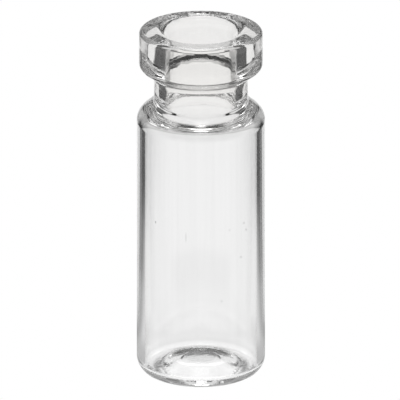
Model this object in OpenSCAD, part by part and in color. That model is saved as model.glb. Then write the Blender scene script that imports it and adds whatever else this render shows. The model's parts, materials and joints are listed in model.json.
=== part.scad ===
// Crimp-top glass sample vial, made from one length of drawn tube.
// The foot is melted shut and pushed up, and the open end is necked in and
// pressed into a flange that an aluminium cap is crimped over.
// The vial stands on the plane z = 0 with its axis on Z. Millimetres.

/* [Body] */
// Outside diameter of the tube
body_d = 11.6; // [11.5:0.1:12.2]
// Wall thickness of the tube
wall_t = 0.72; // [0.62:0.02:0.76]
// Height of the whole vial
vial_h = 32.7; // [31.8:0.1:36]

/* [Underside of the foot] */
// Rounding of the heel, where the wall turns into the foot
heel_round = 1.65; // [1.4:0.05:1.8]
// Diameter at which the slope of the push-up would meet the table
stand_d = 6.4; // [6.1:0.1:6.7]
// Rounding between that slope and the flat ring that the vial stands on
stand_round = 1.9; // [1:0.1:2]
// Height of the push-up
push_up_h = 1.05; // [0.8:0.05:1.1]
// Diameter at which its slope would meet its flat top
push_up_d = 3.2; // [2.8:0.1:3.6]
// Rounding between its slope and its flat top
push_up_round = 0.7; // [0.2:0.1:1.2]

/* [Floor] */
// Height of the lowest ring of the floor, next to the wall
trough_h = 0.95; // [0.85:0.05:1.05]
// Diameter at which the dome would rise from that ring
trough_d = 8.7; // [8.5:0.1:8.8]
// Rounding of the foot of the dome
trough_round = 1; // [0.2:0.1:1.2]
// Rounding of the inside corner between wall and floor
floor_round = 0.35; // [0.2:0.05:0.5]
// Height of the top of the dome
dome_h = 1.6; // [1.5:0.05:1.8]
// Diameter at which the dome's side would meet its flat top
dome_d = 5.5; // [5:0.1:5.9]
// Rounding between the dome's side and its top
dome_round = 3.6; // [1:0.1:4]

/* [Shoulder] */
// Height at which the wall and the cone of the shoulder would meet
shoulder_h = 24.8; // [24.4:0.1:25.2]
// Slope of the shoulder, in degrees above level
shoulder_slope = 40.5; // [34:0.5:44]
// Rounding of the outside edge of the shoulder
shoulder_round = 1.45; // [0.9:0.05:1.7]
// Height at which the wall and the ceiling inside the shoulder would meet
ceiling_h = 24.65; // [24:0.05:24.9]
// How steeply the ceiling dips towards the opening, in degrees
ceiling_slope = 11; // [4:1:15]
// Rounding between the wall and the ceiling
ceiling_round = 0.8; // [0.4:0.05:0.95]

/* [Neck] */
// Outside diameter of the neck
neck_d = 8.5; // [8.3:0.1:8.7]
// Diameter of the opening through the neck
opening_d = 6.4; // [6:0.1:6.6]
// Rounding between the shoulder and the neck
neck_round = 0.5; // [0.3:0.05:0.9]
// Rounding between the neck and the flange's underside
under_round = 1.1; // [0.6:0.05:1.15]
// Rounding of the edge between the ceiling and the opening
throat_round = 0.55; // [0.2:0.05:0.7]

/* [Flange] */
// Outside diameter of the flange
flange_d = 11.2; // [11:0.1:11.5]
// Height from the rim down to where side and underside would meet
flange_h = 3.6; // [3.4:0.05:3.8]
// Slope of the flange's underside, in degrees above level
underside_slope = 21; // [17:1:26]
// Rounding of the flange's lower edge
lower_round = 0.75; // [0.4:0.05:0.9]
// Rounding of the flange's upper edge
upper_round = 0.4; // [0.2:0.05:0.6]
// Rounding of the edge of the mouth
mouth_round = 0.9; // [0.5:0.05:1]

/* [Hidden] */
$fn = 96;

body_r = body_d / 2;
bore_r = body_r - wall_t;
neck_r = neck_d / 2;
opening_r = opening_d / 2;
flange_r = flange_d / 2;

// Heights at which the neck meets the slope below it and the slope above it,
// outside, and at which the ceiling meets the opening, inside
neck_foot_h = shoulder_h + (body_r - neck_r) * tan(shoulder_slope);
flange_foot_h = vial_h - flange_h;
neck_top_h = flange_foot_h - (flange_r - neck_r) * tan(underside_slope);
throat_h = ceiling_h - (bore_r - opening_r) * tan(ceiling_slope);

// A round stands this much proud of the lines it touches, and is cut off
// this far beyond where it touches them, so that they cross cleanly
proud = 0.0002;
lap = 0.05;

// The glass to the right of the axis, as corners [radius, height, round],
// listed anticlockwise: along the underside, up the outside, down the inside
// and back along the floor
GLASS = [
    [0, push_up_h, 0],
    [push_up_d / 2, push_up_h, push_up_round],
    [stand_d / 2, 0, stand_round],
    [body_r, 0, heel_round],
    [body_r, shoulder_h, shoulder_round],
    [neck_r, neck_foot_h, neck_round],
    [neck_r, neck_top_h, under_round],
    [flange_r, flange_foot_h, lower_round],
    [flange_r, vial_h, upper_round],
    [opening_r, vial_h, mouth_round],
    [opening_r, throat_h, throat_round],
    [bore_r, ceiling_h, ceiling_round],
    [bore_r, trough_h, floor_round],
    [trough_d / 2, trough_h, trough_round],
    [dome_d / 2, dome_h, dome_round],
    [0, dome_h, 0],
];

function unit(v) = v / norm(v);

// Half of the angle at p between the lines to a and to b, and where a round
// of radius r in that corner touches the line to a
function half_angle(a, p, b) = acos(unit(a - p) * unit(b - p)) / 2;
function touch(a, p, b, r) = p + unit(a - p) * r / tan(half_angle(a, p, b));

// The piece of circle between a corner's round and its chord
module round_piece(a, p, b, r) {
    inward = unit(unit(a - p) + unit(b - p));
    first = touch(a, p, b, r) + unit(a - p) * lap;
    second = touch(b, p, a, r) + unit(b - p) * lap;
    intersection() {
        translate(p + inward * r / sin(half_angle(a, p, b))) circle(r + proud);
        polygon([first, first - inward * r, second - inward * r, second]);
    }
}

// The area inside a closed line of corners, rounded with true arcs
module rounded_outline(corners) {
    last = len(corners) - 1;
    function at(i) = [for (k = [0, 1]) corners[(i + last + 1) % (last + 1)][k]];
    function sticks_out(i) = cross(at(i) - at(i - 1), at(i + 1) - at(i)) > 0;
    module rounds(outward) {
        for (i = [0 : last])
            if (corners[i][2] > 0 && sticks_out(i) == outward)
                round_piece(at(i - 1), at(i), at(i + 1), corners[i][2]);
    }
    difference() {
        union() {
            polygon([
                for (i = [0 : last])
                    each corners[i][2] > 0
                        ? [touch(at(i - 1), at(i), at(i + 1), corners[i][2]),
                           touch(at(i + 1), at(i), at(i - 1), corners[i][2])]
                        : [at(i)]
            ]);
            rounds(true);
        }
        rounds(false);
    }
}

// The vial itself, one piece of clear glass
module vial() {
    color([0.86, 0.89, 0.89, 0.4])
        rotate_extrude()
            rounded_outline(GLASS);
}

vial();
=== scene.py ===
import json
import math

import bpy
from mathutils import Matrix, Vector


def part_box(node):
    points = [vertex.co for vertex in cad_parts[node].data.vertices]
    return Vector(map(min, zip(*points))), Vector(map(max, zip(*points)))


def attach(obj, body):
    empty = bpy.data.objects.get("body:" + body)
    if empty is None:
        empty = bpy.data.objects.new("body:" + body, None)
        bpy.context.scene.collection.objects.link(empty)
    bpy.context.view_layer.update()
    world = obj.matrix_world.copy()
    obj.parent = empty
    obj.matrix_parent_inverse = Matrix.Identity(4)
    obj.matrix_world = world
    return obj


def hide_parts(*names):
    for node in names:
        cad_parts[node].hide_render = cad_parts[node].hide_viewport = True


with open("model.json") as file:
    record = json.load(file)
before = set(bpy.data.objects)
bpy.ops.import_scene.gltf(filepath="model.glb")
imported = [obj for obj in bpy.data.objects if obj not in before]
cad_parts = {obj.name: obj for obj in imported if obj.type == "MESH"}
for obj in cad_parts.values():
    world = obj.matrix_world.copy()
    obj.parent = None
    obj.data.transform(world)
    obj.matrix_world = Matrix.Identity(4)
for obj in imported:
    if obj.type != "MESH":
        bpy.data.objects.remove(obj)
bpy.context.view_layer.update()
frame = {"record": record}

# ------------------------------------------------------------ the vial
# One piece of clear borosilicate glass, made from a length of drawn tube:
# the foot is melted shut and pushed up, the other end is necked in and
# pressed into a flange. All of it is fire-polished, so every edge is round.

MM = 0.001
top_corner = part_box("vial")[1]
vial_h = top_corner.z / MM
body_r = top_corner.x / MM
mounts = {mount["name"]: mount["dims"] for mount in frame["record"]["mounts"]}

# Outside, from the foot up: radii and heights in millimetres, slopes in degrees
push_up_h = 1.05
push_up_r = 1.6
push_up_round = 0.7
stand_r = 3.2
stand_round = 1.9
heel_round = 1.65
shoulder_h = 24.8
shoulder_slope = 40.5
shoulder_round = 1.45
neck_r = 4.25
neck_round = 0.5
under_round = 1.1
underside_slope = 21
flange_r = mounts["crimp_flange"]["r_mm"]
flange_h = 3.6
lower_round = 0.75
upper_round = 0.4
mouth_round = 0.9

# Inside, from the opening down: the neck ends in a lip that hangs a little
# lower than the ceiling round it
opening_r = mounts["mouth"]["r_mm"]
bore_r = 5.08
throat_round = 0.55
ceiling_slope = 11
ceiling_h = 24.65
ceiling_round = 0.8
floor_round = 0.35
trough_h = 0.95
trough_r = 4.35
trough_round = 1.0
dome_h = 1.6
dome_r = 2.75
dome_round = 3.6


def rise(slope, run):
    return math.tan(math.radians(slope)) * run


# Corners of the glass on one side of the axis as (radius, height, round),
# from the middle of the foot, up the outside and back down the inside
underside_h = vial_h - flange_h
neck_foot_h = shoulder_h + rise(shoulder_slope, body_r - neck_r)
neck_top_h = underside_h - rise(underside_slope, flange_r - neck_r)
throat_h = ceiling_h - rise(ceiling_slope, bore_r - opening_r)
SECTION = [
    (0, push_up_h, 0),
    (push_up_r, push_up_h, push_up_round),
    (stand_r, 0, stand_round),
    (body_r, 0, heel_round),
    (body_r, shoulder_h, shoulder_round),
    (neck_r, neck_foot_h, neck_round),
    (neck_r, neck_top_h, under_round),
    (flange_r, underside_h, lower_round),
    (flange_r, vial_h, upper_round),
    (opening_r, vial_h, mouth_round),
    (opening_r, throat_h, throat_round),
    (bore_r, ceiling_h, ceiling_round),
    (bore_r, trough_h, floor_round),
    (trough_r, trough_h, trough_round),
    (dome_r, dome_h, dome_round),
    (0, dome_h, 0),
]

# Each round is drawn in steps of about this turn. A straight that is longer
# than three guards has a point one guard from each end, so that the smooth
# shading of a round stays in the round
ARC_STEP = math.radians(3)
GUARD = 0.06
SPIN_STEPS = 240
WELD = 0.0001


def place(corner):
    return Vector((corner[0], 0, corner[1])) * MM


def draw_straight(start, end):
    along = end - start
    guard = along.normalized() * GUARD * MM
    stops = [end]
    if along.length > 3 * guard.length:
        stops = [start + guard, end - guard, end]
    here = start
    for stop in stops:
        bpy.ops.mesh.extrude_region_move(TRANSFORM_OT_translate={"value": stop - here})
        here = stop


def draw_round(here, before, corner, after):
    """Draws from here to where the corner's round begins, and round it."""
    to_before = (place(before) - place(corner)).normalized()
    to_after = (place(after) - place(corner)).normalized()
    half_angle = to_before.angle(to_after) / 2
    radius = corner[2] * MM
    reach = radius / math.tan(half_angle)
    inward = (to_before + to_after).normalized()
    turn = math.pi - 2 * half_angle
    draw_straight(here, place(corner) + to_before * reach)
    bpy.ops.mesh.spin(
        steps=round(turn / ARC_STEP),
        angle=turn,
        center=place(corner) + inward * radius / math.sin(half_angle),
        axis=to_before.cross(to_after),
    )
    return place(corner) + to_after * reach


bpy.ops.object.select_all(action="DESELECT")
bpy.ops.mesh.primitive_plane_add(size=MM, location=place(SECTION[0]))
vial = bpy.context.object
vial.name = "vial_glass"
bpy.ops.object.mode_set(mode="EDIT")
bpy.ops.mesh.merge(type="CENTER")
pen = place(SECTION[0])
for before, corner, after in zip(SECTION, SECTION[1:], SECTION[2:]):
    pen = draw_round(pen, before, corner, after)
draw_straight(pen, place(SECTION[-1]))
bpy.ops.mesh.select_all(action="SELECT")
bpy.ops.mesh.spin(steps=SPIN_STEPS, angle=math.tau, center=(0, 0, 0), axis=(0, 0, 1))
bpy.ops.mesh.select_all(action="SELECT")
bpy.ops.mesh.remove_doubles(threshold=WELD * MM)
bpy.ops.mesh.normals_make_consistent(inside=False)
bpy.ops.object.mode_set(mode="OBJECT")
bpy.ops.object.transform_apply(location=True, rotation=True, scale=True)
bpy.ops.object.shade_smooth()

# Clear glass of low expansion, which bends light a little less than window
# glass, and is a touch warm where it is thick
GLASS_IOR = 1.473
THICK_GREEN = 0.994
THICK_BLUE = 0.984

# Relief of the surface, as depths in millimetres: striae run along the drawn
# tube, tooling leaves rings from the shoulder up and streaks down the neck and
# flange, and the melted foot is left mottled
STRIAE_DEPTH = 0.0006
RING_DEPTH = 0.003
STREAK_DEPTH = 0.02
MOTTLE_DEPTH = 0.014
MARK_DEPTH = 0.03

# The grain of each: its size in millimetres, what that is divided by along x,
# y and z, and how much fine detail it has
STRIAE_GRAIN = (0.5, (1, 1, 0.03), 1)
RING_GRAIN = (0.35, (0.12, 0.12, 1), 2)
STREAK_GRAIN = (0.65, (1, 1, 0.3), 1)
MOTTLE_GRAIN = (0.3, (1, 1, 1), 2)

# Heights between which each sets in or dies away: the rings and the tint at the
# shoulder, the streaks on the neck, the mottle over the foot, and the scuffs
# right over the table
RINGS_FROM = (23.5, 24.5)
TINT_FROM = (23.5, 26.5)
STREAKS_FROM = (26.5, 27.5)
MOTTLE_TO = (0.8, 1.6)
SCUFFS_TO = (0.005, 0.03)
SCUFF_ROUGHNESS = 0.3

# Striae are a little less clear at the low end of their grain, which rises to
# clear glass over this range, and marks are duller
STRIAE_RANGE = (0.35, 0.65)
STRIAE_CLARITY = 0.985
MARK_CLARITY = 0.75

# Small marks of handling on the tube: degrees round it, height, half length
# and half width. Each is at its full depth over this share of its size
MARKS = [
    (-44.5, 15.7, 0.15, 0.12),
    (-13.5, 14.8, 0.6, 0.08),
    (26.5, 15.3, 0.12, 0.1),
    (42.0, 15.7, 0.12, 0.09),
    (44.5, 15.0, 0.15, 0.08),
    (38.5, 12.5, 0.08, 0.18),
    (19.0, 8.6, 0.1, 0.15),
]
MARK_BOTTOM = 0.3


def link_or_set(tree, socket, value):
    if isinstance(value, bpy.types.NodeSocket):
        tree.links.new(value, socket)
    else:
        socket.default_value = value


def add_node(tree, kind, **sockets):
    """A node with its inputs set by name, to values or to other outputs."""
    node = tree.nodes.new(kind)
    for name, value in sockets.items():
        link_or_set(tree, node.inputs[name.replace("_", " ")], value)
    return node


def maths(tree, operation, first, second=0.0):
    node = tree.nodes.new("ShaderNodeMath")
    node.operation = operation
    link_or_set(tree, node.inputs[0], first)
    link_or_set(tree, node.inputs[1], second)
    return node.outputs[0]


def vector_maths(tree, operation, first, second=(0, 0, 0)):
    node = tree.nodes.new("ShaderNodeVectorMath")
    node.operation = operation
    link_or_set(tree, node.inputs[0], first)
    link_or_set(tree, node.inputs[1], second)
    return node.outputs["Value" if operation == "LENGTH" else "Vector"]


def fade(tree, value, start, end, first, last):
    """Goes smoothly from first to last as a value goes from start to end."""
    node = add_node(tree, "ShaderNodeMapRange", Value=value, From_Min=start, From_Max=end,
                    To_Min=first, To_Max=last)
    node.interpolation_type = "SMOOTHSTEP"
    return node.outputs["Result"]


def grain(tree, point, size, divisors, detail):
    stretched = vector_maths(tree, "MULTIPLY", point, divisors)
    noise = add_node(tree, "ShaderNodeTexNoise", Vector=stretched, Scale=1 / (size * MM),
                     Detail=detail)
    return noise.outputs["Fac"]


def mark_shape(tree, point, mark):
    """One in the middle of a mark on the tube's outside, nothing at its edge."""
    degrees, height, half_length, half_width = mark
    turn = math.radians(degrees)
    middle = Vector((body_r * math.sin(turn), -body_r * math.cos(turn), height)) * MM
    size = Vector((half_width, half_width, half_length)) * MM
    offset = vector_maths(tree, "SUBTRACT", point, middle)
    reach = vector_maths(tree, "LENGTH", vector_maths(tree, "DIVIDE", offset, size))
    return fade(tree, reach, MARK_BOTTOM, 1, 1, 0)


def tube_glass():
    material = bpy.data.materials.new("clear_tube_glass")
    material.use_nodes = True
    tree = material.node_tree
    shader = tree.nodes["Principled BSDF"]
    shader.inputs["IOR"].default_value = GLASS_IOR
    shader.inputs["Transmission Weight"].default_value = 1
    point = tree.nodes.new("ShaderNodeTexCoord").outputs["Object"]
    z = add_node(tree, "ShaderNodeSeparateXYZ", Vector=point).outputs["Z"]
    height = maths(tree, "DIVIDE", z, MM)

    striae = grain(tree, point, *STRIAE_GRAIN)
    rings = grain(tree, point, *RING_GRAIN)
    streaks = grain(tree, point, *STREAK_GRAIN)
    mottle = grain(tree, point, *MOTTLE_GRAIN)
    marked = 0
    for mark in MARKS:
        marked = maths(tree, "MAXIMUM", marked, mark_shape(tree, point, mark))
    relief = 0
    for pattern, depth in [
        (striae, STRIAE_DEPTH),
        (rings, fade(tree, height, *RINGS_FROM, 0, RING_DEPTH)),
        (streaks, fade(tree, height, *STREAKS_FROM, 0, STREAK_DEPTH)),
        (mottle, fade(tree, height, *MOTTLE_TO, MOTTLE_DEPTH, 0)),
        (marked, -MARK_DEPTH),
    ]:
        relief = maths(tree, "ADD", relief, maths(tree, "MULTIPLY", pattern, depth))
    bump = add_node(tree, "ShaderNodeBump", Height=relief, Distance=MM)
    tree.links.new(bump.outputs["Normal"], shader.inputs["Normal"])

    clear = fade(tree, striae, *STRIAE_RANGE, STRIAE_CLARITY, 1)
    clear = maths(tree, "MULTIPLY", clear, fade(tree, marked, 0, 1, 1, MARK_CLARITY))
    green = fade(tree, height, *TINT_FROM, 1, THICK_GREEN)
    blue = fade(tree, height, *TINT_FROM, 1, THICK_BLUE)
    tint = add_node(tree, "ShaderNodeCombineColor", Red=clear,
                    Green=maths(tree, "MULTIPLY", clear, green),
                    Blue=maths(tree, "MULTIPLY", clear, blue))
    tree.links.new(tint.outputs["Color"], shader.inputs["Base Color"])
    scuffs = fade(tree, height, *SCUFFS_TO, SCUFF_ROUGHNESS, 0)
    tree.links.new(maths(tree, "MULTIPLY", scuffs, mottle), shader.inputs["Roughness"])
    return material


vial.data.materials.append(tube_glass())
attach(vial, "root")
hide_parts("vial")

# ------------------------------------------------------------ the studio
# A pale light table in a softly lit room. The table's glow is painted with light and shade: a
# painted pool of light round the foot, painted shade for dark flags on both sides of a white
# sweep behind the vial, and painted shade under the foot and round the heel. In the room's glow
# a white sweep runs back behind the vial between dark flags, and soft lamps hang behind and
# over it. The table and the room glow by themselves, and to the camera both are plain white.

TABLE_R = 3
TABLE_SIDES = 96
TABLE_GAP = 0.02
BACKDROP_GLOW = 1.0
SWEEP_GLOW = 0.88
# Painted shade: where the flags are, the table glows only this much
FLAG_PAINTED_SHADE = 0.36
TABLE_GLOW = 0.9
# Painted light: a pool of it round the foot, where the table glows this much
FOOT_PAINTED_LIGHT = 1.05

# Where the painted light and shade meet on the table, and how softly. Round the vial these are
# in degrees from straight behind it: the end of the sweep, the end of the painted shade of the
# flags, seen straight and reflected, and the start of the sides and the front
SWEEP_EDGE = (26, 4)
FLAG_EDGE = (52, 8)
WING_EDGE = (52, 10)
SIDE_EDGE = (75, 10)
FRONT_EDGE = (108, 12)

# Outwards they are in millimetres from its axis: the end of the painted pool of light round the
# foot and of the lit part and, reflected, the end of the middle under the foot, of the ring of
# painted shade round the heel, and of the lit part again
FOOT_EDGE = (9, 3)
LIT_EDGE = (75, 30)
MIDDLE_EDGE = (7, 1)
HEEL_EDGE = (13, 3)
ROOM_EDGE = (48, 12)
# Reflected, under the foot the table glows this much, and round the heel it is darkened to the
# next value with painted shade
MIDDLE_GLOW = 0.95
HEEL_PAINTED_SHADE = 0.5


def soft_edges(tree, value, first, *edges):
    """Starts at the first glow and goes over to another at each edge.

    An edge is where it lies, how soft it is to each side, and the glow beyond.
    """
    glow = first
    for where, soft, beyond in edges:
        glow = fade(tree, value, where - soft, where + soft, glow, beyond)
    return glow


def bearing(tree, point):
    """Degrees round the vial from straight behind it, the same to both sides."""
    spot = add_node(tree, "ShaderNodeSeparateXYZ", Vector=point)
    side = maths(tree, "ABSOLUTE", spot.outputs["X"])
    return maths(tree, "DEGREES", maths(tree, "ARCTAN2", side, spot.outputs["Y"]))


def as_seen(tree, straight, turned):
    """Tells light that comes straight through the glass from light that the
    glass has reflected on its way, and from what the camera sees beside it."""
    path = tree.nodes.new("ShaderNodeLightPath")
    reflected = maths(tree, "GREATER_THAN", path.outputs["Glossy Depth"], 0)
    glow = fade(tree, reflected, 0, 1, straight, turned)
    return fade(tree, path.outputs["Is Camera Ray"], 0, 1, glow, BACKDROP_GLOW)


def table_opal():
    material = bpy.data.materials.new("lit_opal_table")
    material.use_nodes = True
    tree = material.node_tree
    tree.nodes.remove(tree.nodes["Principled BSDF"])
    point = tree.nodes.new("ShaderNodeTexCoord").outputs["Object"]
    away = maths(tree, "DIVIDE", vector_maths(tree, "LENGTH", point), MM)
    turn = bearing(tree, point)

    # Straight through the glass: the table is brightest round the foot, where a pool of light
    # is painted, and past its lit part lies the sweep between the flags, which are painted
    # shade on the table
    around = soft_edges(tree, turn, SWEEP_GLOW, (*SWEEP_EDGE, FLAG_PAINTED_SHADE),
                        (*FLAG_EDGE, SWEEP_GLOW))
    straight = soft_edges(tree, away, FOOT_PAINTED_LIGHT, (*FOOT_EDGE, TABLE_GLOW), (*LIT_EDGE, around))

    # Reflected by the glass: the table from under the foot outwards, in turn behind it, at the
    # flags, just past them, to the side and in front. All of it is painted light and shade:
    # painted shade under and round the foot behind it, a ring of painted shade round the heel,
    # and the flags painted as dark shade on the table
    behind = soft_edges(tree, away, 0.3, (*MIDDLE_EDGE, 0.2), (*HEEL_EDGE, SWEEP_GLOW))
    under = soft_edges(tree, away, MIDDLE_GLOW, (*MIDDLE_EDGE, HEEL_PAINTED_SHADE))
    flag_painted_shade = soft_edges(tree, away, under, (*HEEL_EDGE, 0.35), (30, 6, 0.18), (*ROOM_EDGE, 0.09))
    wings = soft_edges(tree, away, under, (*HEEL_EDGE, 0.7), (*ROOM_EDGE, 0.09))
    sides = soft_edges(tree, away, under, (*HEEL_EDGE, 0.7), (*ROOM_EDGE, 0.5))
    front = soft_edges(tree, away, under, (*HEEL_EDGE, 0.15), (23, 3, 0.78), (82, 13, 0.3))
    turned = soft_edges(tree, turn, behind, (*SWEEP_EDGE, flag_painted_shade), (*WING_EDGE, wings),
                        (*SIDE_EDGE, sides), (*FRONT_EDGE, front))
    glow = add_node(tree, "ShaderNodeEmission", Strength=as_seen(tree, straight, turned))
    tree.links.new(glow.outputs[0], tree.nodes["Material Output"].inputs["Surface"])
    return material


bpy.ops.object.select_all(action="DESELECT")
bpy.ops.mesh.primitive_circle_add(vertices=TABLE_SIDES, radius=TABLE_R, fill_type="NGON",
                                  location=(0, 0, -TABLE_GAP * MM))
table = bpy.context.object
table.name = "light_table"
bpy.ops.object.transform_apply(location=True, rotation=True, scale=True)
table.data.materials.append(table_opal())

# The lamps behind the vial: half width as a bearing, lowest and highest edge
# in degrees above level, and glow. One more hangs overhead, to the front
LAMPS = [
    (70, 30, 50, 0.75),
    (10, 30, 40, 3.8),
    (14, 50, 75, 1.3),
]
LAMP_SOFT = 3
FRONT_LAMP_BEARING = (125, 25)
FRONT_LAMP_HEIGHT = (77, 3)
FRONT_LAMP_GLOW = 2.2


def room_light():
    world = bpy.data.worlds.new("studio")
    world.use_nodes = True
    tree = world.node_tree
    point = tree.nodes.new("ShaderNodeTexCoord").outputs["Generated"]
    turn = bearing(tree, point)
    z = add_node(tree, "ShaderNodeSeparateXYZ", Vector=point).outputs["Z"]
    above = maths(tree, "DEGREES", maths(tree, "ARCSINE", z))

    # Straight through the glass: low down the flags are dark on both sides of
    # the sweep, and higher up the room is even
    low = soft_edges(tree, turn, 0.62, (15, 7, 0.02), (46.5, 8.5, 0.6))
    high = soft_edges(tree, turn, 0.7, (35, 25, 0.45))
    straight = soft_edges(tree, above, low, (20, 12, high))

    # Reflected by the glass: the sweep with a narrow dark gap up its middle, the
    # flags beside it, a paler band over them, and the lamps on a dark ceiling
    sweep = soft_edges(tree, turn, 0.08, (6, 2, 0.6))
    sweep = soft_edges(tree, above, 0.4, (12, 2, sweep))
    low = soft_edges(tree, turn, sweep, (16, 6, 0.02), (60, 15, 0.25))
    band = soft_edges(tree, turn, 0.42, (30, 6, 0.1), (70, 10, 0.5))
    turned = soft_edges(tree, above, low, (20, 3, band), (29, 3, 0))
    for half_width, lowest, highest, lamp_glow in LAMPS:
        lamp = soft_edges(tree, turn, lamp_glow, (half_width, LAMP_SOFT, 0))
        lamp = soft_edges(tree, above, 0, (lowest, LAMP_SOFT, lamp), (highest, LAMP_SOFT, 0))
        turned = maths(tree, "ADD", turned, lamp)
    lamp = soft_edges(tree, turn, 0, (*FRONT_LAMP_BEARING, FRONT_LAMP_GLOW))
    lamp = soft_edges(tree, above, 0, (*FRONT_LAMP_HEIGHT, lamp))
    turned = maths(tree, "ADD", turned, lamp)

    background = tree.nodes["Background"]
    background.inputs["Color"].default_value = (1, 1, 1, 1)
    tree.links.new(as_seen(tree, straight, turned), background.inputs["Strength"])
    return world


scene = bpy.context.scene
scene.world = room_light()

# Light turns round many times inside thick glass before it comes out
LIGHT_TURNS = 32
scene.cycles.max_bounces = LIGHT_TURNS
scene.cycles.glossy_bounces = LIGHT_TURNS
scene.cycles.transmission_bounces = LIGHT_TURNS

# ------------------------------------------------------------ the camera
# Far off with a long lens, looking down on the vial from the front, so that
# nothing narrows with distance. The vial's axis and the middle of its foot are
# at these pixels of a square frame, from its top left corner.

FRAME_PX = 400
AXIS_PX = 200.9
FOOT_PX = 371.0
PX_PER_MM = 11.05
LOOK_DOWN = math.radians(19.25)
CAMERA_M = 0.5

camera_data = bpy.data.cameras.new("camera")
camera_data.type = "ORTHO"
camera_data.ortho_scale = FRAME_PX / PX_PER_MM * MM
camera = bpy.data.objects.new("camera", camera_data)
scene.collection.objects.link(camera)
right = Vector((1, 0, 0))
ahead = Vector((0, math.cos(LOOK_DOWN), -math.sin(LOOK_DOWN)))
up = right.cross(ahead)
middle = (right * (FRAME_PX / 2 - AXIS_PX) + up * (FOOT_PX - FRAME_PX / 2)) * MM / PX_PER_MM
camera.location = middle - ahead * CAMERA_M
camera.rotation_euler = (math.pi / 2 - LOOK_DOWN, 0, 0)
scene.camera = camera
scene.view_settings.view_transform = "Standard"
